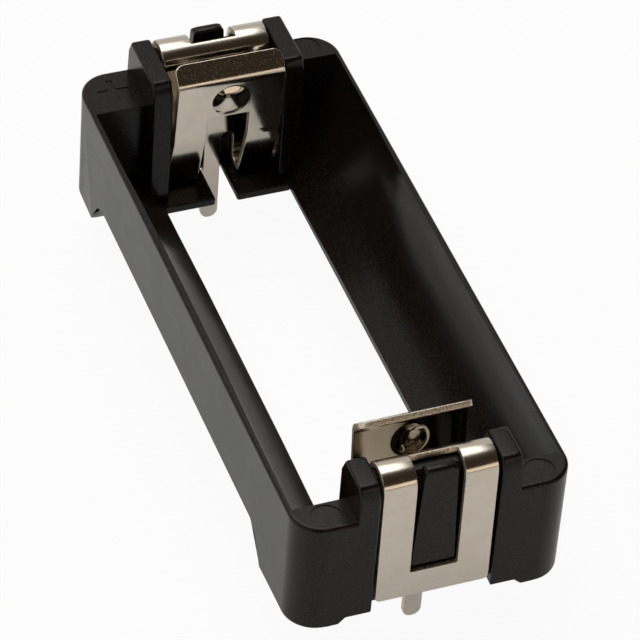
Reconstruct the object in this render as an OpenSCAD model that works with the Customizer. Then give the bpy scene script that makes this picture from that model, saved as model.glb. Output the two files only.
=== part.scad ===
// Through-hole holder for one short cylindrical cell: an open moulded frame
// with a sprung sheet-metal contact clipped over each end wall.
// The origin is on the board under the middle of the frame. The long side runs
// along Y, and the end for the cell's positive pole is at +Y.

/* [Cell] */
// Diameter of the cell that the cradle takes
cell_d = 17; // [16:0.1:18]
// Room between the cell and the cradle, on the radius
cell_gap = 0.05; // [0.02:0.01:0.15]
// Height of the cell's underside above the board
cell_lift = 0.1; // [0.05:0.05:0.6]

/* [Frame] */
// Length of the frame over its end faces
body_l = 44.2; // [43:0.1:50]
// Thickness of a side wall at its rim
rim_t = 0.45; // [0.4:0.05:0.8]
// Drop of the rim below the cell's axis
rim_drop = 0.1; // [0.05:0.05:0.4]
// Radius of the upright corners
corner_r = 2.1; // [1.6:0.1:2.6]
// Radius of the outer top edge
edge_r = 0.25; // [0.15:0.05:0.3]
// Half the width of the opening under the cell
throat_x = 4.4; // [4.2:0.1:4.7]
// Height of a side wall's outer bottom edge above the board
sill_z = 2.35; // [1.8:0.05:3]
// Height of the cradle's inner bottom edge above the board
lip_z = 0.85; // [0.7:0.05:1]
// Half the length of the close-fitting middle of the cradle
cradle_y = 13.3; // [10:0.1:14.5]
// Extra room in the cradle beyond that middle, on the radius
relief = 0.12; // [0.05:0.01:0.15]

/* [End walls] */
// Thickness of an end wall at the corners
end_t = 2.35; // [2.2:0.05:2.6]
// Height of an end wall's bottom edge above the board
end_z = 0.45; // [0.25:0.05:0.6]
// Rise of the wall that carries a contact above the rim
saddle_rise = 2.3; // [1.8:0.05:2.35]
// Bevel on the top edges of that wall, which clears the contact's roll
saddle_c = 0.35; // [0.32:0.01:0.45]
// Depth of the channel that a contact's outer plate lies in
channel = 0.9; // [0.85:0.05:1]
// Rise of the guide ribs above the rim
rib_rise = 2.6; // [2.2:0.1:3.2]
// Thickness of a guide rib
rib_t = 1.15; // [0.9:0.05:1.4]
// Length of a guide rib at the negative end
rib_front = 3.4; // [2.6:0.1:4]
// Length of a guide rib at the positive end, which keeps a reversed cell off the contact
rib_rear = 5.4; // [4.6:0.1:5.8]
// Height of the bevel on the ends of a rib's top edge
bevel_h = 0.9; // [0.5:0.1:1.2]
// Length of the bevel on the ends of a rib's top edge
bevel_l = 0.45; // [0.3:0.05:0.6]
// Rise of the middle tab above the wall that carries the contact
tab_rise = 0.6; // [0.4:0.05:1]
// Thickness of the middle tab
tab_t = 0.6; // [0.4:0.05:0.65]
// Bevel on the tab's outer top edge
tab_c = 0.18; // [0.1:0.02:0.3]
// Width of the middle tab at its top
tab_w = 2.1; // [1.6:0.1:2.4]
// Width of the middle tab at its foot
tab_foot_w = 2.9; // [2.4:0.05:3]
// Distance of the shelf's free edge from the end face
shelf_l = 6.1; // [5.7:0.1:6.5]
// Thickness of the shelf under the contact's leaf
shelf_t = 0.65; // [0.5:0.05:0.75]
// Width of the notch in the shelf
notch_w = 1.5; // [1.4:0.05:1.8]

/* [Feet] */
// Distance of a foot's inner edge from the middle of the frame
pad_x = 5.95; // [5.6:0.05:6.4]
// Length of the feet at the negative end
foot_front = 5.9; // [4.4:0.1:6.5]
// Length of the feet at the positive end
foot_rear = 4.3; // [4:0.1:6]
// Length of the curved rise from a foot to the side wall's bottom edge
ramp_l = 2.3; // [1.6:0.1:3]

/* [Marks] */
// Diameter of the round marks on the corner floors
mark_d = 2; // [1.4:0.1:2.2]
// Depth of the marks
mark_depth = 0.06; // [0.03:0.01:0.1]
// Length of an arm-to-arm line in the plus mark
plus_l = 2.2; // [1.6:0.1:2.4]
// Width of a line in the plus mark
plus_w = 0.4; // [0.3:0.05:0.6]
// Length of the corner floor that carries the plus mark
ledge_l = 4; // [3.8:0.1:4.3]

/* [Contacts] */
// Sheet thickness
sheet = 0.4; // [0.35:0.01:0.45]
// Width of a contact
contact_w = 7.4; // [7:0.1:7.6]
// Distance of the outer plate's lower edge from the rim, downwards
plate_drop = 7.3; // [6.6:0.1:7.8]
// Radius of the outer plate's lower corners
plate_r = 0.35; // [0.2:0.05:0.6]
// Inward lean of the outer plate, in degrees
plate_lean = 1.2; // [0.8:0.1:1.6]
// Width of the slot down the outer plate
slot_w = 3.1; // [3.05:0.05:3.6]
// Distance of the slot's lower end from the rim, downwards
slot_drop = 5.3; // [4.6:0.1:5.6]
// Distance of the slot's inner end from the end face
slot_reach = 1.9; // [1.6:0.05:2.1]
// Rise of the roll over the wall above the rim
roll_rise = 2.9; // [2.85:0.05:3.2]
// Inside radius of the bends at the foot of the leaf
foot_r = 0.35; // [0.25:0.05:0.5]
// Lean of the leaf towards the cell, in degrees
leaf_lean = 7; // [6:0.1:8]
// Distance of the leaf's top bend from the end face
leaf_in = 5.82; // [5.6:0.02:5.9]
// Rise of the leaf's top bend above the rim
leaf_rise = 2.05; // [1.8:0.05:2.4]
// Inside radius of that bend
tip_r = 0.45; // [0.3:0.05:0.6]
// Length of the lip above that bend
lip_l = 1.25; // [1:0.05:1.8]
// Lean of the lip away from the cell, in degrees
lip_lean = 46; // [40:1:55]
// Corner radius of the lip
lip_r = 0.65; // [0.4:0.05:0.9]
// Width of the window in the leaf
window_w = 2.9; // [2.7:0.1:3.2]
// Distance of the window's top from the rim, downwards
window_drop = 0.8; // [0.7:0.05:1.2]
// Diameter of the dimple that meets the cell
dimple_d = 2.7; // [2:0.1:2.9]
// Height of the dimple
dimple_h = 0.45; // [0.4:0.01:0.5]
// Rise of the dimple's centre above the rim
dimple_rise = 0.7; // [0.6:0.05:0.8]
// Width of the board pin
pin_w = 1.2; // [1:0.05:1.3]
// Length of the board pin below the board's top face
pin_l = 3.5; // [2.5:0.1:4.5]

/* [Hidden] */
$fn = 64;
// Overlap that lets a cut run clear of a face
past = 1;
// Overlap that joins two solids
bite = 0.1;
// How far a rounding cut stands off the faces that it runs out into
graze = 0.01;
// Number of flats in the curved rise of a foot
ramp_flats = 14;
// Largest turn from one flat of a bend to the next, in degrees
flat_turn = 7.5;

cradle_r = cell_d / 2 + cell_gap;
axis_z = cell_lift + cradle_r;
rim_z = axis_z - rim_drop;
body_w = 2 * (cradle_r + rim_t);
end_y = body_l / 2;
inner_y = end_y - end_t;
saddle_z = rim_z + saddle_rise;
saddle_y = end_y - channel;
rib_z = rim_z + rib_rise;
rib_x = contact_w / 2 + sheet;
shelf_top = end_z + shelf_t;
tab_z = saddle_z + tab_rise;
slot_z = rim_z - slot_drop;
ledge_x = rib_x + rib_t;
mark_x = (body_w / 2 + ledge_x) / 2 - rim_t / 2;
mark_y = end_y - end_t / 2;

// Frame, built as one rounded block and then opened

// Cross-section of a block with its two top edges rounded
module topped(w, h, r) {
    translate([-w / 2, 0]) square([w, h - r]);
    translate([r - w / 2, 0]) square([w - 2 * r, h]);
    for (s = [-1, 1]) translate([s * (w / 2 - r), h - r]) circle(r);
}

// One upright corner with its top edge rounded
module corner_post() {
    rotate_extrude() intersection() {
        topped(2 * corner_r, rim_z, edge_r);
        square([corner_r, rim_z]);
    }
}

// The block that the frame is cut from
module block() {
    run_x = body_w - 2 * corner_r;
    run_y = body_l - 2 * corner_r;
    translate([0, run_y / 2, 0]) rotate([90, 0, 0]) linear_extrude(run_y) topped(body_w, rim_z, edge_r);
    translate([-run_x / 2, 0, 0]) rotate([90, 0, 90]) linear_extrude(run_x) topped(body_l, rim_z, edge_r);
    for (x = [-1, 1], y = [-1, 1]) translate([x * run_x / 2, y * run_y / 2, 0]) corner_post();
}

// A cylinder along Y through the cell's axis, from y0 to y1
module along_axis(r, y0, y1) {
    translate([0, y1, axis_z]) rotate([90, 0, 0]) cylinder(r = r, h = y1 - y0, $fn = 128);
}

// Points of the curved rise from a foot whose inner end is at y, climbing towards the middle
function rise(y, s) = [for (i = [0 : ramp_flats]) let (f = i / ramp_flats)
    [y - s * f * ramp_l, sill_z / 2 * (1 - cos(180 * f))]];

// Everything under the side walls and between the feet
module under_walls() {
    top = sill_z + past;
    front = rise(foot_front - end_y, -1);
    rear = rise(end_y - foot_rear, 1);
    slope = (sill_z - lip_z) / (body_w / 2 - throat_x);
    far_x = body_w / 2 + past;
    far_z = sill_z + slope * past;
    intersection() {
        translate([0, body_l / 2, 0]) rotate([90, 0, 0]) linear_extrude(body_l)
            polygon([[-far_x, -past], [far_x, -past], [far_x, far_z], [throat_x, lip_z],
                [-throat_x, lip_z], [-far_x, far_z]]);
        translate([-far_x, 0, 0]) rotate([90, 0, 90]) linear_extrude(2 * far_x)
            polygon(concat([[front[0].x, -past]], front, [[front[ramp_flats].x, top], [rear[ramp_flats].x, top]],
                [for (i = [ramp_flats : -1 : 0]) rear[i]], [[rear[0].x, -past]]));
    }
}

// The raised bottom edge between the feet
module under_ends() {
    slant = end_z;
    translate([0, end_y + past, 0]) rotate([90, 0, 0]) linear_extrude(body_l + 2 * past)
        polygon([[-pad_x, -past], [pad_x, -past], [pad_x, 0], [pad_x - slant, end_z], [slant - pad_x, end_z],
            [-pad_x, 0]]);
}

// A guide rib pair of length l at the +Y end
module ribs(l) {
    y0 = end_y - l;
    for (s = [-1, 1]) translate([s * (rib_x + rib_t / 2) - rib_t / 2, 0, 0])
        rotate([90, 0, 90]) linear_extrude(rib_t)
            polygon([[y0, end_z], [end_y, end_z], [end_y, rib_z - bevel_h], [end_y - bevel_l, rib_z],
                [y0 + bevel_l, rib_z], [y0, rib_z - bevel_h]]);
}

// The wall under a contact, with the tab that catches the slot in its outer plate
module saddle() {
    translate([-rib_x - bite, 0, 0]) rotate([90, 0, 90]) linear_extrude(2 * (rib_x + bite))
        polygon([[inner_y, end_z], [saddle_y, end_z], [saddle_y, saddle_z - saddle_c],
            [saddle_y - saddle_c, saddle_z], [inner_y + saddle_c, saddle_z], [inner_y, saddle_z - saddle_c]]);
    intersection() {
        translate([0, saddle_y + tab_t, 0]) rotate([90, 0, 0]) linear_extrude(tab_t + bite)
            polygon([[-tab_foot_w / 2, slot_z + bite], [tab_foot_w / 2, slot_z + bite],
                [tab_w / 2, tab_z], [-tab_w / 2, tab_z]]);
        translate([-tab_foot_w, 0, 0]) rotate([90, 0, 90]) linear_extrude(2 * tab_foot_w)
            polygon([[saddle_y - bite, slot_z], [saddle_y + tab_t, slot_z], [saddle_y + tab_t, tab_z - tab_c],
                [saddle_y + tab_t - tab_c, tab_z], [saddle_y - bite, tab_z]]);
    }
}

// The shelf that carries the foot of a contact's leaf, notched for the board pin
module shelf() {
    difference() {
        translate([-throat_x - bite, end_y - shelf_l, end_z])
            cube([2 * (throat_x + bite), shelf_l - end_t + bite, shelf_t]);
        translate([-notch_w / 2, end_y - shelf_l - past, end_z - past])
            cube([notch_w, shelf_l - end_t + past, shelf_t + 2 * past]);
    }
}

// Channel across the end face for the outer plate
module plate_channel() {
    translate([-rib_x, saddle_y, -past]) cube([2 * rib_x, channel + past, rim_z + 2 * past]);
}

module plus_mark() {
    for (a = [0, 90]) rotate(a) translate([-plus_l / 2, -plus_w / 2, 0]) cube([plus_l, plus_w, past]);
}

module housing() color("#232324") {
    difference() {
        union() {
            difference() {
                block();
                along_axis(cradle_r, -inner_y, inner_y);
                for (s = [0, 180]) rotate(s) along_axis(cradle_r + relief, cradle_y, inner_y);
                translate([-throat_x, -inner_y, -past]) cube([2 * throat_x, 2 * inner_y, rim_z + 2 * past]);
                under_walls();
                under_ends();
            }
            // corner floor that is longer at the positive end
            translate([-body_w / 2 + rim_t / 2, end_y - ledge_l, sill_z])
                cube([body_w / 2 - rim_t / 2 - rib_x - bite, ledge_l - end_t + bite, rim_z - sill_z]);
        }
        for (s = [0, 180]) rotate(s) plate_channel();
        for (p = [[-1, -1], [1, -1], [1, 1]])
            translate([p.x * mark_x, p.y * mark_y, rim_z - mark_depth]) cylinder(d = mark_d, h = past);
        translate([-mark_x, end_y - ledge_l / 2, rim_z - mark_depth]) plus_mark();
    }
    ribs(rib_rear);
    rotate(180) ribs(rib_front);
    for (s = [0, 180]) rotate(s) {
        saddle();
        shelf();
    }
}

// Contact, bent from one strip

mid = sheet / 2;
roll_z = rim_z + roll_rise - mid;
loose = foot_r + mid;
crook = tip_r + mid;
strip_y = inner_y - mid - (end_t - channel) / 10;
plate_z = rim_z - plate_drop;
plate_y = end_y - mid;
run_z = shelf_top + mid;
tip_y = end_y - leaf_in + mid;
tip_z = rim_z + leaf_rise;

// Radius of the roll, and the lengths of the straight runs, that bring each bend to its place
roll_r = (plate_y - strip_y - (roll_z - plate_z) * tan(plate_lean))
    / (1 + cos(plate_lean) - tan(plate_lean) * (1 - sin(plate_lean)));
plate_run = (roll_z - roll_r * (1 - sin(plate_lean)) - plate_z) / cos(plate_lean);
strip_run = roll_z - roll_r - run_z - loose;
leaf_z = run_z + loose * (1 - sin(leaf_lean));
leaf_run = (tip_z - leaf_z) / cos(leaf_lean);
leaf_y = tip_y + leaf_run * sin(leaf_lean);
shelf_run = strip_y - loose - leaf_y - loose * cos(leaf_lean);

// Each row is a straight run, the turn after it in degrees, and the turn's middle radius
strip = [
    [plate_run, 180 - plate_lean, roll_r],
    [strip_run, -90, loose],
    [shelf_run, leaf_lean - 90, loose],
    [leaf_run, -leaf_lean - lip_lean, crook],
    [lip_l, 0, 0],
];

// The strip's middle line as places and headings, from place p and heading a at row i on
function trail(rows, p, a, i = 0) = i == len(rows) ? [] :
    let (q = p + rows[i][0] * [cos(a), sin(a)], t = rows[i][1], r = sign(t) * rows[i][2],
        c = q + r * [-sin(a), cos(a)], n = ceil(abs(t) / flat_turn),
        turn = [for (k = [0 : n]) let (b = a + (n == 0 ? 0 : t * k / n)) [c - r * [-sin(b), cos(b)], b]])
    concat(turn, trail(rows, turn[n][0], a + t, i + 1));

// The strip's side view, drawn as one outline half a sheet to each side of the middle line
module bent(rows, p, a) {
    line = concat([[p, a]], trail(rows, p, a));
    last = len(line) - 1;
    polygon(concat([for (k = [0 : last]) line[k][0] + mid * [-sin(line[k][1]), cos(line[k][1])]],
        [for (k = [last : -1 : 0]) line[k][0] - mid * [-sin(line[k][1]), cos(line[k][1])]]));
}

// What rounds the two free corners of a sheet that is w wide and ends at y = 0, lying across Z = 0
module corner_cuts(w, r) {
    c = w / 2 - r + graze;
    for (s = [-1, 1]) linear_extrude(2 * sheet, center = true) polygon(concat(
        [[s * c, past], [s * (w / 2 + past), past], [s * (w / 2 + past), graze - r]],
        [for (a = [0 : flat_turn : 90]) [s * (c + r * cos(a)), r * (sin(a) - 1) + graze]]));
}

// A contact at the +Y end
module contact() {
    relief_w = (window_w - pin_w) / 2;
    relief_x = (window_w + pin_w) / 4;
    relief_z = slot_z + relief_w / 4;
    front_y = strip_y - mid;
    window_z = rim_z - window_drop;
    slot_end = end_y - slot_reach;
    dimple_z = rim_z + dimple_rise;
    dimple_y = tip_y + (tip_z - dimple_z) * tan(leaf_lean) - mid / cos(leaf_lean);
    dome_r = (dimple_d * dimple_d / 4 + dimple_h * dimple_h) / (2 * dimple_h);
    dome_c = dome_r - dimple_h;
    line = trail(strip, [plate_y, plate_z], 90 + plate_lean);
    lip_end = line[len(line) - 1][0];
    difference() {
        union() {
            translate([-contact_w / 2, 0, 0]) rotate([90, 0, 90]) linear_extrude(contact_w)
                bent(strip, [plate_y, plate_z], 90 + plate_lean);
            // dimple, domed towards the cell
            translate([0, dimple_y, dimple_z]) rotate([90 - leaf_lean, 0, 0]) intersection() {
                translate([0, 0, -dome_c]) sphere(dome_r);
                translate([0, 0, -mid]) cylinder(d = 2 * dimple_d, h = dome_r);
            }
        }
        // rounded free corners of the lip and of the outer plate
        translate([0, lip_end.x, lip_end.y]) rotate([90 - lip_lean, 0, 0]) corner_cuts(contact_w, lip_r);
        translate([0, plate_y, plate_z]) rotate([plate_lean - 90, 0, 0]) corner_cuts(contact_w, plate_r);
        // hollow of the dimple
        translate([0, dimple_y, dimple_z]) rotate([90 - leaf_lean, 0, 0])
            translate([0, 0, -dome_c]) sphere(dome_r - sheet);
        // slot down the outer plate and over the roll
        translate([-slot_w / 2, slot_end, slot_z]) cube([slot_w, end_y, roll_rise + slot_drop + past]);
        // window in the leaf, from which the board pin is cut
        translate([-window_w / 2, tip_y - past, run_z - past])
            cube([window_w, front_y - tip_y + past, window_z - run_z + past]);
        // reliefs beside the pin's root
        translate([-window_w / 2, 0, run_z - past]) cube([window_w, strip_y + sheet, relief_z - run_z + past]);
        for (s = [-1, 1]) translate([s * relief_x, 0, relief_z]) rotate([-90, 0, 0])
            cylinder(d = relief_w, h = strip_y + sheet);
    }
    // board pin
    translate([0, strip_y + mid, 0]) rotate([90, 0, 0]) linear_extrude(sheet) {
        translate([-pin_w / 2, pin_w / 2 - pin_l]) square([pin_w, relief_z + bite + pin_l - pin_w / 2]);
        translate([0, pin_w / 2 - pin_l]) circle(d = pin_w);
    }
}

module front_contact() color("#c9c3b4") rotate(180) contact();

module rear_contact() color("#c9c3b4") contact();

housing();
front_contact();
rear_contact();
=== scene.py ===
"""Circuit-board holder for one short cylindrical cell, dressed and lit for a studio picture.

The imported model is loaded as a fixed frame. The moulded frame is a merged copy of its node with
the edges softened, and the two spring contacts are bent again from one flat strip, run by run.
Sizes are in millimetres until they reach a mesh, which is in metres.
"""

import logging
import math
from collections.abc import Callable
from dataclasses import dataclass
from enum import Enum

import bmesh
import bpy
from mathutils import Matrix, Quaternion, Vector


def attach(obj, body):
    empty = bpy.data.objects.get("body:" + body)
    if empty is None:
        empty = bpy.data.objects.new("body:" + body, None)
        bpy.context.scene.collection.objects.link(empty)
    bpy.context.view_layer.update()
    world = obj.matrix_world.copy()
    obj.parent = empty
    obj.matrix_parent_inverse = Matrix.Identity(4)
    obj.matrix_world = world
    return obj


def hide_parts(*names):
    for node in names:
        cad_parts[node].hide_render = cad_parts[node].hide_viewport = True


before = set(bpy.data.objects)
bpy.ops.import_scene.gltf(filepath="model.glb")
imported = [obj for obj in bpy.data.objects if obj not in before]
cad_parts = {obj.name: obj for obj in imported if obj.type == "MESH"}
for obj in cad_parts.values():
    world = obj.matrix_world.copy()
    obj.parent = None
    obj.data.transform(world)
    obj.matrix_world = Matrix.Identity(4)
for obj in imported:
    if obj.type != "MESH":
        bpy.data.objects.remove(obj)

MM = 0.001
WHITE = "#ffffff"
log = logging.getLogger("cell_holder")

Place = tuple[float, float, float]
Test = Callable[[Vector], bool]
X_AXIS: Place = (1, 0, 0)
Y_AXIS: Place = (0, 1, 0)
Z_AXIS: Place = (0, 0, 1)

# how far off a place may be when elements are told apart by it, loosely and tightly, in millimetres
CLOSE = 0.01
TIGHT = 0.001
BEVEL_STEPS = 3
# how much more a large face counts than a small one when normals are weighted
FACE_WEIGHT = 80

# the sockets of a Mix node for colours, which share their names with its other sockets
MIX_SHARE, MIX_A, MIX_B, MIX_COLOUR = 0, 6, 7, 2
# the range that most values of a noise texture fall in
NOISE_LOW, NOISE_HIGH = 0.3, 0.7


class Element(Enum):
    """The kind of mesh element that a selection is made of."""

    VERT = "VERT"
    EDGE = "EDGE"
    FACE = "FACE"


class CellEnd(Enum):
    """The end of the frame that a contact is clipped to, as a turn about Z in degrees."""

    REAR = 0.0
    FRONT = 180.0


# Modelling by hand


def mm(x: float, y: float, z: float) -> Vector:
    """A place in millimetres as a vector in metres."""
    return Vector((x, y, z)) * MM


def towards(heading: float) -> Vector:
    """The direction in the YZ plane at a heading in degrees from +Y."""
    return Vector((0, math.cos(math.radians(heading)), math.sin(math.radians(heading))))


def only(piece: bpy.types.Object) -> None:
    """Deselects everything but one piece and makes it the active object."""
    bpy.ops.object.select_all(action="DESELECT")
    piece.select_set(True)
    bpy.context.view_layer.objects.active = piece


def pick(piece: bpy.types.Object, kind: Element, test: Test) -> None:
    """Selects, in edit mode, the elements whose middle passes a test.

    Args:
        piece: The object that is being edited.
        kind: Whether vertices, edges or faces are selected.
        test: Takes the middle of an element in millimetres.
    """
    bpy.ops.mesh.select_mode(type=kind.value)
    bpy.ops.mesh.select_all(action="DESELECT")
    shape = bmesh.from_edit_mesh(piece.data)
    for item in {Element.VERT: shape.verts, Element.EDGE: shape.edges, Element.FACE: shape.faces}[kind]:
        corners = [item] if kind is Element.VERT else item.verts
        middle = sum((v.co for v in corners), Vector()) / len(corners) / MM
        if test(middle):
            item.select_set(True)
    shape.select_flush_mode()
    bmesh.update_edit_mesh(piece.data)


def cut(place: Vector, normal: Place) -> None:
    """Cuts the selected faces along a plane through a place in metres, or along edges close to it."""
    bpy.ops.mesh.bisect(plane_co=place, plane_no=normal, threshold=CLOSE * MM)


def extrude(way: Vector) -> None:
    """Extrudes the selected edges by a vector in metres."""
    bpy.ops.mesh.extrude_edges_move(TRANSFORM_OT_translate={"value": way})


def apply_modifier(piece: bpy.types.Object, kind: str, **settings: object) -> None:
    """Adds a modifier with its settings to the active piece and applies it.

    Args:
        piece: The active object, in object mode.
        kind: The modifier's type, as Blender names it.
        **settings: Values for the modifier's own properties.
    """
    modifier = piece.modifiers.new(kind.title(), kind)
    for name, value in settings.items():
        setattr(modifier, name, value)
    bpy.ops.object.modifier_apply(modifier=modifier.name)


def smooth(piece: bpy.types.Object, sharp_deg: float) -> None:
    """Shades the active piece smooth, except across edges that turn by more than an angle."""
    bpy.ops.object.shade_smooth_by_angle(angle=math.radians(sharp_deg))
    apply_modifier(piece, "WEIGHTED_NORMAL", weight=FACE_WEIGHT, keep_sharp=True)


# Finishes


def linear(hex_colour: str) -> tuple[float, float, float, float]:
    """Turns an sRGB hex colour into linear red, green, blue and alpha.

    Args:
        hex_colour: A colour such as "#1a1a1b".

    Returns:
        The four linear values that a shader socket takes.
    """
    parts = [int(hex_colour[i:i + 2], 16) / 255 for i in (1, 3, 5)]
    red, green, blue = (c / 12.92 if c <= 0.04045 else ((c + 0.055) / 1.055) ** 2.4 for c in parts)
    return red, green, blue, 1.0


def per_metre(size_mm: float) -> float:
    """The scale of a texture on Object coordinates whose features are size_mm across."""
    return 1 / (size_mm * MM)


def add_node(tree: bpy.types.NodeTree, kind: str, values: dict[str | int, object] | None = None,
             links: dict[str | int, bpy.types.NodeSocket] | None = None,
             **settings: object) -> bpy.types.Node:
    """Adds a shader node with its settings, its socket values and its links.

    Args:
        tree: The node tree that the node goes into.
        kind: The node's type, as Blender names it.
        values: Socket name or number to a constant value.
        links: Socket name or number to the output that feeds it.
        **settings: Values for the node's own properties.

    Returns:
        The new node.
    """
    node = tree.nodes.new(kind)
    for name, value in settings.items():
        setattr(node, name, value)
    for socket, value in (values or {}).items():
        node.inputs[socket].default_value = value
    for socket, source in (links or {}).items():
        tree.links.new(source, node.inputs[socket])
    return node


def dress(piece: bpy.types.Object, *materials: bpy.types.Material) -> None:
    """Gives a piece its materials, slot by slot, in place of any it has.

    Args:
        piece: The object to dress.
        *materials: The materials, in the order of the slots that its faces name.
    """
    while len(piece.data.materials) < len(materials):
        piece.data.materials.append(None)
    for place, material in enumerate(materials):
        piece.data.materials[place] = material


@dataclass(frozen=True)
class BlackMouldedPolyester:
    """Glass-filled polyester, injection-moulded in a fine spark-eroded tool.

    It gives the eye a deep charcoal, faintly mottled by the glass, with a satin gloss that climbs at
    a glancing angle, slow flow marks in the gloss, a very fine grain, and a few specks of dust.
    """

    name: str = "black_moulded_polyester"
    dark: str = "#110d0b"
    light: str = "#211b17"
    dust: str = "#6d6a64"
    rough_low: float = 0.17
    rough_high: float = 0.27
    # the tool's texture scatters most of what is seen face on, so the gloss is weak there
    specular: float = 0.2
    flow_mm: float = 5.0
    # the tool's own grain is about 0.02 mm, drawn coarser so that it shows
    grain_mm: float = 0.14
    grain_depth_mm: float = 0.006
    # the stretch of the grain's values over which the dark tone turns to the light one
    filler_low: float = 0.35
    filler_high: float = 0.65
    wave_mm: float = 1.1
    wave_run_mm: float = 14.0
    wave_depth_mm: float = 0.02
    bump: float = 0.5
    dust_mm: float = 2.6
    # a speck's core and rim, as shares of dust_mm, and how much the core covers
    dust_core: float = 0.018
    dust_rim: float = 0.03
    dust_cover: float = 0.6

    def make(self) -> bpy.types.Material:
        """Builds the material from Object coordinates and returns it."""
        material = bpy.data.materials.new(self.name)
        material.use_nodes = True
        tree = material.node_tree
        shader = tree.nodes["Principled BSDF"]
        shader.inputs["Specular IOR Level"].default_value = self.specular
        place = add_node(tree, "ShaderNodeTexCoord").outputs["Object"]
        flow = add_node(tree, "ShaderNodeTexNoise",
                        {"Scale": per_metre(self.flow_mm), "Detail": 4.0, "Roughness": 0.6},
                        {"Vector": place})
        grain = add_node(tree, "ShaderNodeTexNoise",
                         {"Scale": per_metre(self.grain_mm), "Detail": 2.0, "Roughness": 0.55},
                         {"Vector": place})
        filler = add_node(tree, "ShaderNodeMapRange",
                          {"From Min": self.filler_low, "From Max": self.filler_high},
                          {"Value": grain.outputs["Fac"]})
        tone = add_node(tree, "ShaderNodeMix", {MIX_A: linear(self.dark), MIX_B: linear(self.light)},
                        {MIX_SHARE: filler.outputs["Result"]}, data_type="RGBA")
        specks = add_node(tree, "ShaderNodeTexVoronoi", {"Scale": per_metre(self.dust_mm)},
                          {"Vector": place})
        near = add_node(tree, "ShaderNodeMapRange",
                        {"From Min": self.dust_core, "From Max": self.dust_rim,
                         "To Min": self.dust_cover, "To Max": 0.0},
                        {"Value": specks.outputs["Distance"]})
        dusty = add_node(tree, "ShaderNodeMix", {MIX_B: linear(self.dust)},
                         {MIX_SHARE: near.outputs["Result"], MIX_A: tone.outputs[MIX_COLOUR]},
                         data_type="RGBA")
        rough = add_node(tree, "ShaderNodeMapRange",
                         {"From Min": NOISE_LOW, "From Max": NOISE_HIGH,
                          "To Min": self.rough_low, "To Max": self.rough_high},
                         {"Value": flow.outputs["Fac"]})
        wave = per_metre(self.wave_mm)
        along = add_node(tree, "ShaderNodeMapping", {"Scale": (wave, per_metre(self.wave_run_mm), wave)},
                         {"Vector": place})
        waves = add_node(tree, "ShaderNodeTexNoise", {"Scale": 1.0, "Detail": 2.0},
                         {"Vector": along.outputs["Vector"]})
        sink = add_node(tree, "ShaderNodeBump",
                        {"Strength": self.bump, "Distance": self.wave_depth_mm * MM},
                        {"Height": waves.outputs["Fac"]})
        bump = add_node(tree, "ShaderNodeBump",
                        {"Strength": self.bump, "Distance": self.grain_depth_mm * MM},
                        {"Height": grain.outputs["Fac"], "Normal": sink.outputs["Normal"]})
        tree.links.new(dusty.outputs[MIX_COLOUR], shader.inputs["Base Color"])
        tree.links.new(rough.outputs["Result"], shader.inputs["Roughness"])
        tree.links.new(bump.outputs["Normal"], shader.inputs["Normal"])
        return material


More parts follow.
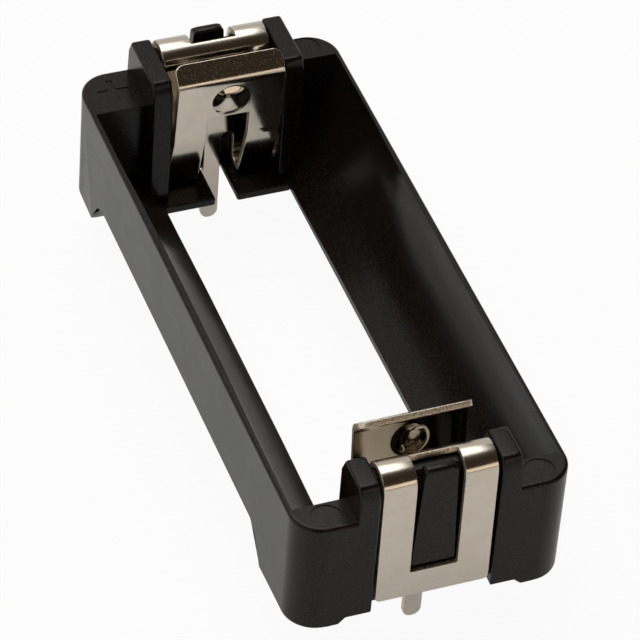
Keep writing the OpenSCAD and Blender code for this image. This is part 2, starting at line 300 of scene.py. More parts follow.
@dataclass(frozen=True)
class NickelPlatedSpring:
    """Spring steel strip with bright nickel plate, rolled, then stamped and bent.

    It gives the eye a warm pale metal that mirrors its surroundings, fine rolling lines along the
    strip, duller bends at the top, and pits that glint on the lips.
    """

    name: str = "nickel_plated_spring_steel"
    bright: str = "#cfc7ba"
    worn: str = "#c2b7a8"
    rough_low: float = 0.08
    rough_high: float = 0.13
    # the bends at the top are stretched in the press, from the first height on and fully at the second
    worked_z: float = 10.6
    worked_top_z: float = 11.4
    # that dulls the plate, more on the rolls beyond roll_y than on the lips within lip_y
    lip_y: float = 18.4
    roll_y: float = 19.0
    lip_rough: float = 0.05
    roll_rough: float = 0.15
    fleck_rough: float = 0.22
    cloud_mm: float = 1.6
    # rolling lines are a few hundredths of a millimetre apart, drawn coarser so that they show
    line_mm: float = 0.09
    line_run_mm: float = 4.0
    line_depth_mm: float = 0.003
    line_bump: float = 0.2
    # the pits in the plate are smaller than this, drawn coarser so that they show
    pit_mm: float = 0.11
    pit_depth_mm: float = 0.01
    pit_bump: float = 0.05
    # the stretch of the grain's values over which the plate turns to a pit
    pit_low: float = 0.54
    pit_high: float = 0.66

    def make(self) -> bpy.types.Material:
        """Builds the material from Object coordinates and returns it."""
        material = bpy.data.materials.new(self.name)
        material.use_nodes = True
        tree = material.node_tree
        shader = tree.nodes["Principled BSDF"]
        shader.inputs["Metallic"].default_value = 1.0
        place = add_node(tree, "ShaderNodeTexCoord").outputs["Object"]
        cloud = add_node(tree, "ShaderNodeTexNoise",
                         {"Scale": per_metre(self.cloud_mm), "Detail": 5.0, "Roughness": 0.65},
                         {"Vector": place})
        run = per_metre(self.line_run_mm)
        along = add_node(tree, "ShaderNodeMapping", {"Scale": (per_metre(self.line_mm), run, run)},
                         {"Vector": place})
        lines = add_node(tree, "ShaderNodeTexNoise", {"Scale": 1.0, "Detail": 2.0},
                         {"Vector": along.outputs["Vector"]})
        grain = add_node(tree, "ShaderNodeTexNoise",
                         {"Scale": per_metre(self.pit_mm), "Detail": 2.0, "Roughness": 0.6},
                         {"Vector": place})
        pits = add_node(tree, "ShaderNodeMapRange", {"From Min": self.pit_low, "From Max": self.pit_high},
                        {"Value": grain.outputs["Fac"]})
        height = add_node(tree, "ShaderNodeSeparateXYZ", {}, {"Vector": place})
        worked = add_node(tree, "ShaderNodeMapRange",
                          {"From Min": self.worked_z * MM, "From Max": self.worked_top_z * MM},
                          {"Value": height.outputs["Z"]})
        tone = add_node(tree, "ShaderNodeMix", {MIX_A: linear(self.bright), MIX_B: linear(self.worn)},
                        {MIX_SHARE: cloud.outputs["Fac"]}, data_type="RGBA")
        plain = add_node(tree, "ShaderNodeMapRange",
                         {"From Min": NOISE_LOW, "From Max": NOISE_HIGH,
                          "To Min": self.rough_low, "To Max": self.rough_high},
                         {"Value": cloud.outputs["Fac"]})
        outward = add_node(tree, "ShaderNodeMath", {}, {0: height.outputs["Y"]}, operation="ABSOLUTE")
        lip = add_node(tree, "ShaderNodeMapRange",
                       {"From Min": self.lip_y * MM, "From Max": self.roll_y * MM,
                        "To Min": 1.0, "To Max": 0.0},
                       {"Value": outward.outputs[0]})
        bend = add_node(tree, "ShaderNodeMapRange", {"To Min": self.roll_rough, "To Max": self.lip_rough},
                        {"Value": lip.outputs["Result"]})
        dulled = add_node(tree, "ShaderNodeMath", {},
                          {0: worked.outputs["Result"], 1: bend.outputs["Result"],
                           2: plain.outputs["Result"]}, operation="MULTIPLY_ADD")
        pitted = add_node(tree, "ShaderNodeMath", {},
                          {0: worked.outputs["Result"], 1: lip.outputs["Result"]}, operation="MULTIPLY")
        flecks = add_node(tree, "ShaderNodeMath", {},
                          {0: pitted.outputs[0], 1: pits.outputs["Result"]}, operation="MULTIPLY")
        rough = add_node(tree, "ShaderNodeMath", {1: self.fleck_rough},
                         {0: flecks.outputs[0], 2: dulled.outputs[0]}, operation="MULTIPLY_ADD")
        rolled = add_node(tree, "ShaderNodeBump",
                          {"Strength": self.line_bump, "Distance": self.line_depth_mm * MM},
                          {"Height": lines.outputs["Fac"]})
        bump = add_node(tree, "ShaderNodeBump",
                        {"Strength": self.pit_bump, "Distance": -self.pit_depth_mm * MM},
                        {"Height": flecks.outputs[0], "Normal": rolled.outputs["Normal"]})
        tree.links.new(tone.outputs[MIX_COLOUR], shader.inputs["Base Color"])
        tree.links.new(rough.outputs[0], shader.inputs["Roughness"])
        tree.links.new(bump.outputs["Normal"], shader.inputs["Normal"])
        return material


@dataclass(frozen=True)
class ShearedStripEdge:
    """The cut edge of the plated strip, where the shear has torn the plate.

    It gives the eye a narrow golden line that is speckled light and dark.
    """

    name: str = "sheared_strip_edge"
    bright: str = "#fbeeda"
    torn: str = "#957c62"
    rough: float = 0.5
    # the torn specks are finer than this, drawn coarser so that they show
    grain_mm: float = 0.1
    grain_depth_mm: float = 0.02
    bump: float = 0.6
    # the stretch of the grain's values over which the bright plate turns to a torn speck
    torn_low: float = 0.48
    torn_high: float = 0.64

    def make(self) -> bpy.types.Material:
        """Builds the material from Object coordinates and returns it."""
        material = bpy.data.materials.new(self.name)
        material.use_nodes = True
        tree = material.node_tree
        shader = tree.nodes["Principled BSDF"]
        shader.inputs["Metallic"].default_value = 1.0
        shader.inputs["Roughness"].default_value = self.rough
        place = add_node(tree, "ShaderNodeTexCoord").outputs["Object"]
        grain = add_node(tree, "ShaderNodeTexNoise",
                         {"Scale": per_metre(self.grain_mm), "Detail": 3.0, "Roughness": 0.6},
                         {"Vector": place})
        share = add_node(tree, "ShaderNodeMapRange",
                         {"From Min": self.torn_low, "From Max": self.torn_high},
                         {"Value": grain.outputs["Fac"]})
        tone = add_node(tree, "ShaderNodeMix", {MIX_A: linear(self.bright), MIX_B: linear(self.torn)},
                        {MIX_SHARE: share.outputs["Result"]}, data_type="RGBA")
        bump = add_node(tree, "ShaderNodeBump",
                        {"Strength": self.bump, "Distance": self.grain_depth_mm * MM},
                        {"Height": grain.outputs["Fac"]})
        tree.links.new(tone.outputs[MIX_COLOUR], shader.inputs["Base Color"])
        tree.links.new(bump.outputs["Normal"], shader.inputs["Normal"])
        return material


@dataclass(frozen=True)
class PaleStudioPaper:
    """Matt white background paper.

    It gives the eye a white ground with a faint shadow. The plastic and the metal mirror it a little
    darker, and darker still in a painted shadow under its right wall, where its glow is lowered.
    """

    name: str = "pale_studio_paper"
    tone: str = "#f2f2f1"
    rough: float = 0.9
    glow: float = 0.94
    mirrored_glow: float = 0.46
    # the painted shadow's oval: its middle, width and length
    shade_x: float = 16.0
    shade_y: float = 8.0
    shade_w: float = 20.0
    shade_l: float = 68.0
    # the painted shadow is full within the first of these shares of the oval, and gone beyond the second
    shade_core: float = 0.6
    shade_rim: float = 1.05
    shaded_share: float = 0.25

    def make(self) -> bpy.types.Material:
        """Builds the material and returns it."""
        material = bpy.data.materials.new(self.name)
        material.use_nodes = True
        tree = material.node_tree
        shader = tree.nodes["Principled BSDF"]
        shader.inputs["Base Color"].default_value = linear(self.tone)
        shader.inputs["Roughness"].default_value = self.rough
        shader.inputs["Specular IOR Level"].default_value = 0.0
        white = add_node(tree, "ShaderNodeEmission", {"Color": linear(WHITE), "Strength": 1.0})
        path = add_node(tree, "ShaderNodeLightPath")
        place = add_node(tree, "ShaderNodeTexCoord").outputs["Object"]
        half_w, half_l = self.shade_w / 2, self.shade_l / 2
        # painted shadow: in reflections the floor's glow is lowered inside a fixed oval under the right
        # wall
        oval = add_node(tree, "ShaderNodeMapping",
                        {"Location": (-self.shade_x / half_w, -self.shade_y / half_l, 0),
                         "Scale": (per_metre(half_w), per_metre(half_l), 0)}, {"Vector": place})
        away = add_node(tree, "ShaderNodeVectorMath", {}, {0: oval.outputs["Vector"]}, operation="LENGTH")
        lit = add_node(tree, "ShaderNodeMapRange",
                       {"From Min": self.shade_core, "From Max": self.shade_rim,
                        "To Min": self.shaded_share * self.mirrored_glow, "To Max": self.mirrored_glow},
                       {"Value": away.outputs["Value"]})
        mirrored = add_node(tree, "ShaderNodeMath", {},
                            {0: path.outputs["Is Glossy Ray"], 1: lit.outputs["Result"]},
                            operation="MULTIPLY")
        share = add_node(tree, "ShaderNodeMath", {1: self.glow},
                         {0: path.outputs["Is Camera Ray"], 2: mirrored.outputs[0]},
                         operation="MULTIPLY_ADD")
        mixed = add_node(tree, "ShaderNodeMixShader", {},
                         {0: share.outputs[0], 1: shader.outputs["BSDF"], 2: white.outputs["Emission"]})
        tree.links.new(mixed.outputs["Shader"], tree.nodes["Material Output"].inputs["Surface"])
        return material


# Sub-assemblies


@dataclass
class MouldedFrame:
    """The one-piece moulded frame: cradle walls, end walls, guide ribs, shelves and feet."""

    node: str = "housing"
    weld: float = 0.001
    flat_deg: float = 0.05
    # edges that turn by more than this are softened, and shading stays sharp beyond smooth_deg
    sharp_deg: float = 28.0
    smooth_deg: float = 35.0
    edge_r: float = 0.2
    rim_r: float = 0.05
    rib_r: float = 0.08
    tab_r: float = 0.35
    least_r: float = 0.03
    # a radius takes at most this share of the room beside its edge, which counts up to most_room
    room_share: float = 0.35
    most_room: float = 1.0
    # an edge leaves another at a clear angle when the sine of that angle is above this
    clear_sine: float = 0.3
    # places of the rim, the tabs, the throat and the ribs, by which their edges are known
    rim_z: float = 8.55
    tab_x: float = 1.1
    tab_z: float = 11.26
    throat_x: float = 4.4
    rib_x: float = 4.1
    rib_in: float = 0.2
    # the cradle's round face, with a shallow step at each end that becomes a ramp
    axis_z: float = 8.65
    cradle_r: float = 8.55
    cradle_y: float = 13.3
    relief: float = 0.12
    ramp_l: float = 6.0
    # the facets of the round face lie this far inside it at most
    chord: float = 0.02

    def build(self) -> bpy.types.Object:
        """Copies the frame's node, welds it, softens its edges and dresses it.

        Returns:
            The finished piece.
        """
        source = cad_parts[self.node]
        piece = bpy.data.objects.new("moulded_frame", source.data.copy())
        bpy.context.scene.collection.objects.link(piece)
        only(piece)
        # the normals that come with the node would blend across its sharp edges
        bpy.ops.mesh.customdata_custom_splitnormals_clear()
        bpy.ops.object.mode_set(mode="EDIT")
        bpy.ops.mesh.select_mode(type="VERT")
        bpy.ops.mesh.select_all(action="SELECT")
        bpy.ops.mesh.remove_doubles(threshold=self.weld * MM)
        bpy.ops.mesh.dissolve_limited(angle_limit=math.radians(self.flat_deg))
        self.ease_cradle(piece)
        self.close_ribs(piece)
        bpy.ops.object.mode_set(mode="OBJECT")
        self.mark_edges(piece)
        apply_modifier(piece, "BEVEL", width=self.tab_r * MM, segments=BEVEL_STEPS, limit_method="WEIGHT",
                       use_clamp_overlap=False, loop_slide=False)
        smooth(piece, self.smooth_deg)
        dress(piece, BlackMouldedPolyester().make())
        return piece

    def ease_cradle(self, piece: bpy.types.Object) -> None:
        """Draws the small step at each end of the cradle's middle out into a gentle ramp.

        Args:
            piece: The welded copy of the frame, in edit mode.
        """
        for side in (-1, 1):
            for wall in (-1, 1):
                def on_step(p: Vector) -> bool:
                    """Whether a place lies in the plane of this step."""
                    return abs(p.y - side * self.cradle_y) < CLOSE and p.x * wall > 0
                pick(piece, Element.FACE, on_step)
                bpy.ops.mesh.delete(type="ONLY_FACE")
                pick(piece, Element.EDGE, lambda p: on_step(p) and (
                    self.near_round(p, 0.0) or self.near_round(p, self.relief)))
                bpy.ops.mesh.bridge_edge_loops()
                pick(piece, Element.VERT, lambda p: on_step(p) and self.near_round(p, 0.0))
                bpy.ops.transform.translate(value=mm(0, -side * self.ramp_l, 0))
        bpy.ops.mesh.select_all(action="SELECT")
        bpy.ops.mesh.normals_make_consistent(inside=False)

    def near_round(self, p: Vector, depth: float) -> bool:
        """Whether a place lies at a depth behind the cradle's round face, to within its facets."""
        return abs(math.hypot(p.x, p.z - self.axis_z) - self.cradle_r - depth) < self.chord

    def close_ribs(self, piece: bpy.types.Object) -> None:
        """Brings the ribs' inner faces nearer to the edges of the contacts.

        Args:
            piece: The welded copy of the frame, in edit mode.
        """
        for wall in (-1, 1):
            pick(piece, Element.VERT, lambda p: abs(p.x * wall - self.rib_x) < CLOSE)
            bpy.ops.transform.translate(value=mm(-wall * self.rib_in, 0, 0))

    def mark_edges(self, piece: bpy.types.Object) -> None:
        """Gives each outward sharp edge a bevel weight, as much as the faces beside it have room for.

        Args:
            piece: The welded copy of the frame.
        """
        shape = bmesh.new()
        shape.from_mesh(piece.data)
        weight = shape.edges.layers.float.new("bevel_weight_edge")
        sharp = math.radians(self.sharp_deg)
        for edge in shape.edges:
            if edge.is_manifold and edge.is_convex and edge.calc_face_angle() > sharp:
                radius = self.radius(edge)
                edge[weight] = radius / self.tab_r if radius > self.least_r else 0.0
        shape.to_mesh(piece.data)
        shape.free()

    def radius(self, edge: bmesh.types.BMEdge) -> float:
        """The radius that a sharp edge gets.

        It is none at the throat, little at the rim and beside the contacts, and most at the tabs' top
        corners.

        Args:
            edge: A sharp edge.

        Returns:
            The radius in millimetres.
        """
        one, two = ends = [v.co / MM for v in edge.verts]
        beside = self.rib_x - self.rib_in
        if all(abs(abs(p.x) - self.throat_x) < CLOSE for p in ends):
            return 0.0
        if min(one.z, two.z) > self.tab_z and abs(one.x) < self.tab_x and abs(one.x - two.x) < CLOSE:
            return self.tab_r
        most = self.edge_r
        if all(abs(p.z - self.rim_z) < CLOSE for p in ends):
            most = self.rim_r
        elif all(abs(abs(p.x) - beside) < CLOSE for p in ends) and abs(one.y - two.y) < CLOSE:
            most = self.rib_r
        return min(most, self.room_share * self.room(edge))

    def room(self, edge: bmesh.types.BMEdge) -> float:
        """How far the two faces beside an edge run from it at its ends, in millimetres.

        Args:
            edge: A sharp edge.

        Returns:
            The shortest such run, along the edges that leave it at a clear angle.
        """
        ahead = (edge.verts[1].co - edge.verts[0].co).normalized()
        runs = [self.most_room]
        for face in edge.link_faces:
            for other in face.edges:
                if other is not edge and set(other.verts) & set(edge.verts):
                    leaving = other.verts[1].co - other.verts[0].co
                    away = leaving.cross(ahead).length
                    if away > self.clear_sine * leaving.length:
                        runs.append(away / MM)
        return min(runs)


@dataclass
class SpringContact:
    """An end contact, bent from one strip of sheet.

    It has an outer plate, a roll over the wall, an inner strip with the board pin, and a sprung leaf
    with a lip. Places are those of the middle of the sheet, at the rear end of the frame.
    """

    sheet: float = 0.4
    width: float = 7.4
    # the outer plate and the slot that runs from it over half of the roll
    plate_y: float = 21.9
    plate_z: float = 1.25
    plate_lean: float = 1.2
    plate_r: float = 0.35
    slot_w: float = 3.1
    slot_z: float = 3.25
    slot_y: float = 20.2
    # the roll over the wall, the inner strip and the run along the shelf
    roll_z: float = 11.25
    strip_y: float = 19.405
    run_z: float = 1.3
    loose_r: float = 0.55
    # the leaf, straight from its tip down to the knee, and with more lean below it
    leaf_lean: float = 5.0
    heel_lean: float = 16.0
    knee_z: float = 6.15
    knee_l: float = 0.7
    tip_y: float = 16.48
    tip_z: float = 10.6
    tip_r: float = 0.75
    lip_l: float = 1.12
    lip_lean: float = 46.0
    lip_r: float = 0.65
    # the window, and the pin that is left in it between two round reliefs
    window_w: float = 2.9
    window_z: float = 7.75
    pin_w: float = 1.2
    pin_l: float = 3.498
    relief_z: float = 3.4625
    # an odd number, which puts a vertex at the relief's crown
    relief_cuts: int = 9
    # the dimple that meets the cell, in a frame that is a little larger than its rim
    dimple_d: float = 2.72
    dimple_h: float = 0.45
    dimple_r: float = 0.42
    dimple_z: float = 9.2
    dimple_margin: float = 0.025
    dimple_rings: int = 6
    level_cuts: int = 5
    upright_cuts: int = 17
    # how finely bends and corners are stepped, and how the cut edges are rounded
    step_deg: float = 6.0
    least_steps: int = 4
    corner_steps: int = 8
    weld: float = 0.01
    edge_r: float = 0.05
    edge_deg: float = 50.0
    smooth_deg: float = 34.0

    @property
    def half_width(self) -> float:
        """Half the strip's width."""
        return self.width / 2

    def build(self) -> bpy.types.Object:
        """Bends the rear contact from a flat strip.

        Returns:
            The finished piece, at the rear end of the frame.
        """
        piece = self.bend_strip()
        self.cut_slot(piece)
        self.cut_window(piece)
        self.press_dimple(piece)
        self.round_corners(piece)
        self.give_thickness(piece)
        return piece

    def bend_strip(self) -> bpy.types.Object:
        """Adds the outer plate as a flat strip and bends the rest of the contact from its top edge.

        Returns:
            The strip's middle surface as an open sheet.
        """
        lean = math.radians(self.plate_lean)
        roll_r = (self.plate_y - self.strip_y - (self.roll_z - self.plate_z) * math.tan(lean)) / (
            1 + math.cos(lean) - math.tan(lean) * (1 - math.sin(lean)))
        plate_run = (self.roll_z - roll_r * (1 - math.sin(lean)) - self.plate_z) / math.cos(lean)
        heading = 90 + self.plate_lean
        ahead = towards(heading)
        start = Vector((0, self.plate_y, self.plate_z))
        bpy.ops.object.select_all(action="DESELECT")
        bpy.ops.mesh.primitive_plane_add(size=MM, location=(start + ahead * plate_run / 2) * MM,
                                         rotation=(math.radians(heading), 0, 0))
        piece = bpy.context.active_object
        piece.name = piece.data.name = "rear_spring_contact"
        piece.scale = (self.width, plate_run, 1)
        bpy.ops.object.transform_apply(location=True, rotation=True, scale=True)
        bpy.ops.object.mode_set(mode="EDIT")
        for column in (self.slot_w / 2, self.window_w / 2, self.pin_w / 2):
            for side in (-1, 1):
                bpy.ops.mesh.select_all(action="SELECT")
                cut(mm(side * column, 0, 0), X_AXIS)
        here = start + ahead * plate_run
        top = here.z
        pick(piece, Element.EDGE, lambda p: p.z > top - TIGHT)
        for turn, radius, run in self.bends(roll_r):
            lever = math.copysign(radius, turn)
            centre = here + lever * Vector((0, -ahead.z, ahead.y))
            bpy.ops.mesh.spin(steps=max(self.least_steps, math.ceil(abs(turn) / self.step_deg)),
                              angle=-math.radians(turn), center=centre * MM, axis=X_AXIS)
            heading += turn
            ahead = towards(heading)
            extrude(ahead * run * MM)
            here = centre - lever * Vector((0, -ahead.z, ahead.y)) + ahead * run
        bpy.ops.object.mode_set(mode="OBJECT")
        return piece

    def bends(self, roll_r: float) -> list[tuple[float, float, float]]:
        """Works out the bends that follow the outer plate.

        Args:
            roll_r: The radius of the roll over the wall.

        Returns:
            Each bend's turn in degrees, its radius, and the straight run after it.
        """
        leaf, heel = math.radians(self.leaf_lean), math.radians(self.heel_lean)
        knee_r = self.knee_l / (heel - leaf)
        knee_y = self.tip_y + (self.tip_z - self.knee_z) * math.tan(leaf)
        heel_z = self.knee_z - knee_r * (math.sin(heel) - math.sin(leaf))
        heel_y = knee_y + knee_r * (math.cos(leaf) - math.cos(heel))
        heel_run = (heel_z - self.run_z - self.loose_r * (1 - math.sin(heel))) / math.cos(heel)
        foot_y = heel_y + heel_run * math.sin(heel) + self.loose_r * math.cos(heel)
        return [
            (180 - self.plate_lean, roll_r, self.roll_z - roll_r - self.run_z - self.loose_r),
            (-90.0, self.loose_r, self.strip_y - self.loose_r - foot_y),
            (self.heel_lean - 90, self.loose_r, heel_run),
            (self.leaf_lean - self.heel_lean, knee_r, (self.tip_z - self.knee_z) / math.cos(leaf)),
            (-self.leaf_lean - self.lip_lean, self.tip_r, self.lip_l)]

    def cut_slot(self, piece: bpy.types.Object) -> None:
        """Cuts the slot down the outer plate and over the outer half of the roll.

        Args:
            piece: The bent sheet.
        """
        half = self.slot_w / 2
        bpy.ops.object.mode_set(mode="EDIT")
        pick(piece, Element.FACE, lambda p: p.y > self.slot_y)
        cut(mm(0, 0, self.slot_z), Z_AXIS)
        pick(piece, Element.FACE, lambda p: p.y > self.strip_y and p.z > self.slot_z)
        cut(mm(0, self.slot_y, 0), Y_AXIS)
        pick(piece, Element.FACE, lambda p: abs(p.x) < half and p.y > self.slot_y and p.z > self.slot_z)
        bpy.ops.mesh.delete(type="FACE")
        bpy.ops.object.mode_set(mode="OBJECT")

    def cut_window(self, piece: bpy.types.Object) -> None:
        """Cuts the window from the leaf, the shelf run and the inner strip, and draws out the pin.

        Args:
            piece: The bent sheet.
        """
        half, pin = self.window_w / 2, self.pin_w / 2
        relief = (half - pin) / 2
        inner = self.strip_y + self.sheet

        def on_strip(p: Vector) -> bool:
            """Whether a place lies on the inner strip's plane."""
            return abs(p.y - self.strip_y) < CLOSE

        bpy.ops.object.mode_set(mode="EDIT")
        pick(piece, Element.FACE, lambda p: p.y < self.strip_y - self.loose_r and p.z > self.run_z + CLOSE)
        cut(mm(0, 0, self.window_z), Z_AXIS)
        pick(piece, Element.FACE, on_strip)
        cut(mm(0, 0, self.relief_z), Z_AXIS)
        pick(piece, Element.FACE, lambda p: abs(p.x) < half and p.y < inner and p.z < (
            self.relief_z if p.y > self.strip_y - CLOSE else self.window_z))
        bpy.ops.mesh.delete(type="FACE")
        for side in (-1, 1):
            crown = Vector((side * (pin + relief), self.strip_y, self.relief_z))
            pick(piece, Element.EDGE, lambda p: (p - crown).length < CLOSE)
            bpy.ops.mesh.subdivide(number_cuts=self.relief_cuts)
            pick(piece, Element.VERT, lambda p: (p - crown).length < CLOSE)
            bpy.ops.transform.translate(value=mm(0, 0, relief), use_proportional_edit=True,
                                        proportional_edit_falloff="SPHERE", proportional_size=relief * MM)
        pick(piece, Element.EDGE, lambda p: on_strip(p) and abs(p.x) < pin
             and abs(p.z - self.relief_z) < CLOSE)
        extrude(mm(0, 0, -self.relief_z - self.pin_l))
        bpy.ops.object.mode_set(mode="OBJECT")

    def press_dimple(self, piece: bpy.types.Object) -> None:
        """Presses the round dimple that meets the cell into the top of the leaf.

        Args:
            piece: The bent sheet.
        """
        half, rim = self.window_w / 2, self.dimple_d / 2
        lean = math.radians(self.leaf_lean)
        centre = Vector((0, self.tip_y + (self.tip_z - self.dimple_z) * math.tan(lean), self.dimple_z))
        push = Vector((0, -math.cos(lean), -math.sin(lean)))
        front = self.strip_y - 2 * self.loose_r
        reach = (rim + self.dimple_margin) * math.cos(lean)
        low, high = self.dimple_z - reach, self.dimple_z + reach

        def on_level(p: Vector) -> bool:
            """Whether a place is level with the top or the bottom of the dimple's frame."""
            return min(abs(p.z - low), abs(p.z - high)) < TIGHT

        def on_upright(p: Vector) -> bool:
            """Whether a place is in line with a side of the dimple's frame."""
            return abs(abs(p.x) - half) < TIGHT

        bpy.ops.object.mode_set(mode="EDIT")
        for level in (low, high):
            pick(piece, Element.FACE, lambda p: p.y < front and self.window_z < p.z < self.tip_z)
            cut(mm(0, 0, level), Z_AXIS)
        pick(piece, Element.FACE, lambda p: abs(p.x) < half and p.y < front and low < p.z < high)
        bpy.ops.mesh.delete(type="FACE")
        pick(piece, Element.EDGE, lambda p: p.y < front and on_level(p) and abs(p.x) < half)
        bpy.ops.mesh.subdivide(number_cuts=self.level_cuts)
        pick(piece, Element.EDGE, lambda p: p.y < front and on_upright(p) and low < p.z < high)
        bpy.ops.mesh.subdivide(number_cuts=self.upright_cuts)
        pick(piece, Element.EDGE, lambda p: p.y < front and (on_level(p) or on_upright(p))
             and abs(p.x) < half + TIGHT and low - TIGHT < p.z < high + TIGHT)
        extrude(Vector())
        bpy.ops.transform.tosphere(value=1.0)
        ring = [v.co for v in bmesh.from_edit_mesh(piece.data).verts if v.select]
        size = sum((co / MM - centre).length for co in ring) / len(ring)
        bpy.ops.transform.resize(value=3 * [rim / size], center_override=centre * MM)
        size, depth = rim, 0.0
        for radius, deeper in self.dimple_profile():
            extrude(push * (deeper - depth) * MM)
            bpy.ops.transform.resize(value=3 * [radius / size],
                                     center_override=(centre + push * deeper) * MM)
            size, depth = radius, deeper
        extrude(push * (self.dimple_h - depth) * MM)
        bpy.ops.mesh.merge(type="CENTER")
        bpy.ops.object.mode_set(mode="OBJECT")

    def dimple_profile(self) -> list[tuple[float, float]]:
        """Works out the dimple's section: the sheet turns in round a fillet, and back to flat over a ball.

        Returns:
            Each ring's radius and depth, from the rim inwards.
        """
        rim = self.dimple_d / 2
        slope = 2 * math.atan(self.dimple_h / rim)
        ball = rim / math.sin(slope) - self.dimple_r
        turns = [slope * (step / self.dimple_rings) for step in range(1, self.dimple_rings + 1)]
        fillet = [(rim - self.dimple_r * math.sin(turn), self.dimple_r * (1 - math.cos(turn)))
                  for turn in turns]
        dome = [(ball * math.sin(turn), self.dimple_h - ball * (1 - math.cos(turn)))
                for turn in turns[-2::-1]]
        return fillet + dome

    def round_corners(self, piece: bpy.types.Object) -> None:
        """Rounds the free corners of the lip, the outer plate and the pin.

        Args:
            piece: The bent sheet.
        """
        lip_top = max(v.co.z for v in piece.data.vertices) / MM

        def at_side(p: Vector) -> bool:
            """Whether a place lies on one of the strip's long edges."""
            return abs(p.x) > self.half_width - TIGHT

        corners: list[tuple[float, Test]] = [
            (self.lip_r, lambda p: at_side(p) and p.z > lip_top - TIGHT),
            (self.plate_r, lambda p: at_side(p) and p.y > self.plate_y - CLOSE
             and abs(p.z - self.plate_z) < TIGHT),
            (self.pin_w / 2 - CLOSE, lambda p: p.z < TIGHT - self.pin_l)]
        bpy.ops.object.mode_set(mode="EDIT")
        for radius, test in corners:
            pick(piece, Element.VERT, test)
            bpy.ops.mesh.bevel(offset=radius * MM, segments=self.corner_steps, affect="VERTICES")
        bpy.ops.object.mode_set(mode="OBJECT")

    def give_thickness(self, piece: bpy.types.Object) -> None:
        """Gives the sheet its finishes and its thickness, and rounds its cut edges.

        Args:
            piece: The bent sheet, with all its cuts.
        """
        only(piece)
        bpy.ops.object.mode_set(mode="EDIT")
        bpy.ops.mesh.select_mode(type="VERT")
        bpy.ops.mesh.select_all(action="SELECT")
        bpy.ops.mesh.remove_doubles(threshold=self.weld * MM)
        bpy.ops.mesh.normals_make_consistent(inside=False)
        bpy.ops.object.mode_set(mode="OBJECT")
        dress(piece, NickelPlatedSpring().make(), ShearedStripEdge().make())
        apply_modifier(piece, "SOLIDIFY", thickness=self.sheet * MM, offset=0.0, use_even_offset=True,
                       material_offset_rim=1)
        bpy.ops.object.mode_set(mode="EDIT")
        bpy.ops.mesh.select_all(action="SELECT")
        bpy.ops.mesh.normals_make_consistent(inside=False)
        bpy.ops.object.mode_set(mode="OBJECT")
        apply_modifier(piece, "BEVEL", width=self.edge_r * MM, segments=BEVEL_STEPS, limit_method="ANGLE",
                       angle_limit=math.radians(self.edge_deg), use_clamp_overlap=True, loop_slide=False)
        smooth(piece, self.smooth_deg)

    def copy_to(self, piece: bpy.types.Object, end: CellEnd, name: str) -> bpy.types.Object:
        """Copies the contact to another end of the frame.

        Args:
            piece: The finished contact, at the rear end.
            end: The end that the copy goes to.
            name: The copy's name.

        Returns:
            The copy, with its own mesh.
        """
        only(piece)
        bpy.ops.object.duplicate(linked=False)
        copy = bpy.context.active_object
        copy.name = copy.data.name = name
        copy.rotation_euler = (0, 0, math.radians(end.value - CellEnd.REAR.value))
        bpy.ops.object.transform_apply(location=False, rotation=True, scale=False)
        return copy


@dataclass(frozen=True)
class SoftLamp:
    """A soft rectangular lamp that faces the object, by its place, size, power in watts and colour."""

    name: str
    place: Place
    width: float
    height: float
    power: float
    colour: str

    def hang(self) -> None:
        """Adds the lamp to the scene."""
        data = bpy.data.lights.new(self.name, "AREA")
        data.shape = "RECTANGLE"
        data.size = self.width * MM
        data.size_y = self.height * MM
        data.energy = self.power
        data.color = linear(self.colour)[:3]
        lamp = bpy.data.objects.new(self.name, data)
        bpy.context.scene.collection.objects.link(lamp)
        lamp.location = mm(*self.place)
        lamp.rotation_euler = (-lamp.location).to_track_quat("-Z", "Y").to_euler()


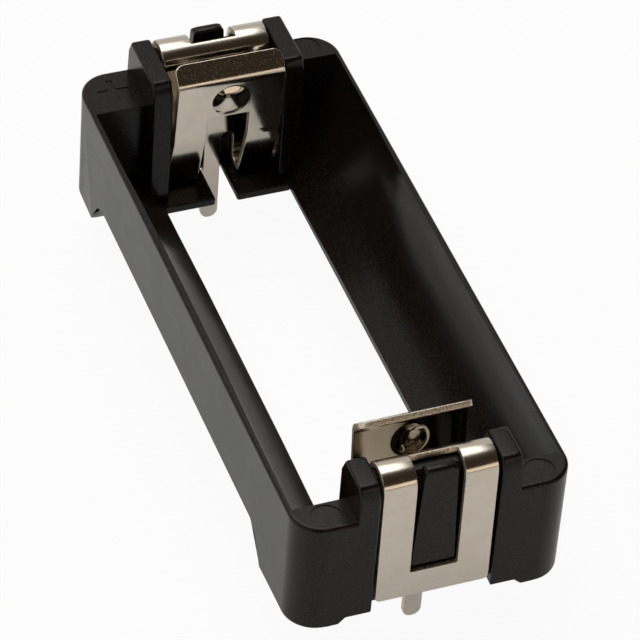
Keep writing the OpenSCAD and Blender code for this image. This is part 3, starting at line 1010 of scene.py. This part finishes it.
@dataclass
class StudioSet:
    """The pale floor, the soft lamps and the camera."""

    floor_z: float = -3.5
    floor_w: float = 760.0
    # a place further out than this share of the floor's width is on its edge
    edge_share: float = 0.49
    backdrop_h: float = 470.0
    sweep_r: float = 117.5
    sweep_steps: int = 12
    back: SoftLamp = SoftLamp("back_softbox", (-40, 240, 550), width=600, height=600, power=3.2,
                              colour=WHITE)
    front: SoftLamp = SoftLamp("low_front_strip", (110, -370, 70), width=420, height=110, power=0.17,
                               colour="#fff0dc")
    room: str = "#907d68"
    room_strength: float = 0.14
    camera_at: Place = (-81.433, -191.017, 196.263)
    camera_to: Place = (0.155, -1.078, 5.0)
    camera_roll: float = 4.7067
    lens_mm: float = 248.505
    sensor_mm: float = 36.0

    def build(self) -> None:
        """Builds the set."""
        self.lay_floor()
        self.back.hang()
        self.front.hang()
        self.light_room()
        self.place_camera()

    def lay_floor(self) -> None:
        """Lays the paper under the tips of the pins and raises its far and left edges as a backdrop."""

        def at_edge(p: Vector) -> bool:
            """Whether a place lies on the floor's far or left edge."""
            return max(p.y, -p.x) > self.edge_share * self.floor_w

        bpy.ops.object.select_all(action="DESELECT")
        bpy.ops.mesh.primitive_plane_add(size=self.floor_w * MM, location=(0, 0, self.floor_z * MM))
        floor = bpy.context.active_object
        floor.name = "studio_floor"
        bpy.ops.object.transform_apply(location=True, rotation=True, scale=True)
        bpy.ops.object.mode_set(mode="EDIT")
        pick(floor, Element.EDGE, at_edge)
        extrude(mm(0, 0, self.backdrop_h))
        pick(floor, Element.EDGE, lambda p: at_edge(p) and p.z < 0)
        bpy.ops.mesh.bevel(offset=self.sweep_r * MM, segments=self.sweep_steps)
        bpy.ops.object.mode_set(mode="OBJECT")
        bpy.ops.object.shade_smooth()
        dress(floor, PaleStudioPaper().make())

    def light_room(self) -> None:
        """Fills the room with a dim light, white where the camera sees it, and sets the view transform."""
        scene = bpy.context.scene
        scene.view_settings.view_transform = "Standard"
        scene.world = scene.world or bpy.data.worlds.new("studio_room")
        scene.world.use_nodes = True
        tree = scene.world.node_tree
        fill = tree.nodes["Background"]
        fill.inputs["Color"].default_value = linear(self.room)
        fill.inputs["Strength"].default_value = self.room_strength
        white = add_node(tree, "ShaderNodeBackground", {"Color": linear(WHITE), "Strength": 1.0})
        seen = add_node(tree, "ShaderNodeLightPath").outputs["Is Camera Ray"]
        mixed = add_node(tree, "ShaderNodeMixShader", {},
                         {0: seen, 1: fill.outputs["Background"], 2: white.outputs["Background"]})
        tree.links.new(mixed.outputs["Shader"], tree.nodes["World Output"].inputs["Surface"])

    def place_camera(self) -> None:
        """Places the camera at the photograph's angle, with its small roll."""
        data = bpy.data.cameras.new("photo_camera")
        data.lens = self.lens_mm
        data.sensor_width = self.sensor_mm
        camera = bpy.data.objects.new("photo_camera", data)
        bpy.context.scene.collection.objects.link(camera)
        ahead = mm(*self.camera_to) - mm(*self.camera_at)
        roll = Quaternion(Z_AXIS, math.radians(self.camera_roll))
        camera.location = mm(*self.camera_at)
        camera.rotation_mode = "QUATERNION"
        camera.rotation_quaternion = ahead.to_track_quat("-Z", "Y") @ roll
        bpy.context.scene.camera = camera


def main() -> None:
    """Builds the holder and its studio in order, and reports each piece."""
    logging.basicConfig(level=logging.INFO, format="%(name)s: %(message)s")
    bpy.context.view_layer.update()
    body = MouldedFrame().build()
    contact = SpringContact()
    rear = contact.build()
    front = contact.copy_to(rear, CellEnd.FRONT, "front_spring_contact")
    for piece, node in ((body, "housing"), (front, "front_contact"), (rear, "rear_contact")):
        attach(piece, "root")
        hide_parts(node)
        log.info("%s: %d faces", piece.name, len(piece.data.polygons))
    StudioSet().build()


if __name__ == "__main__":
    main()
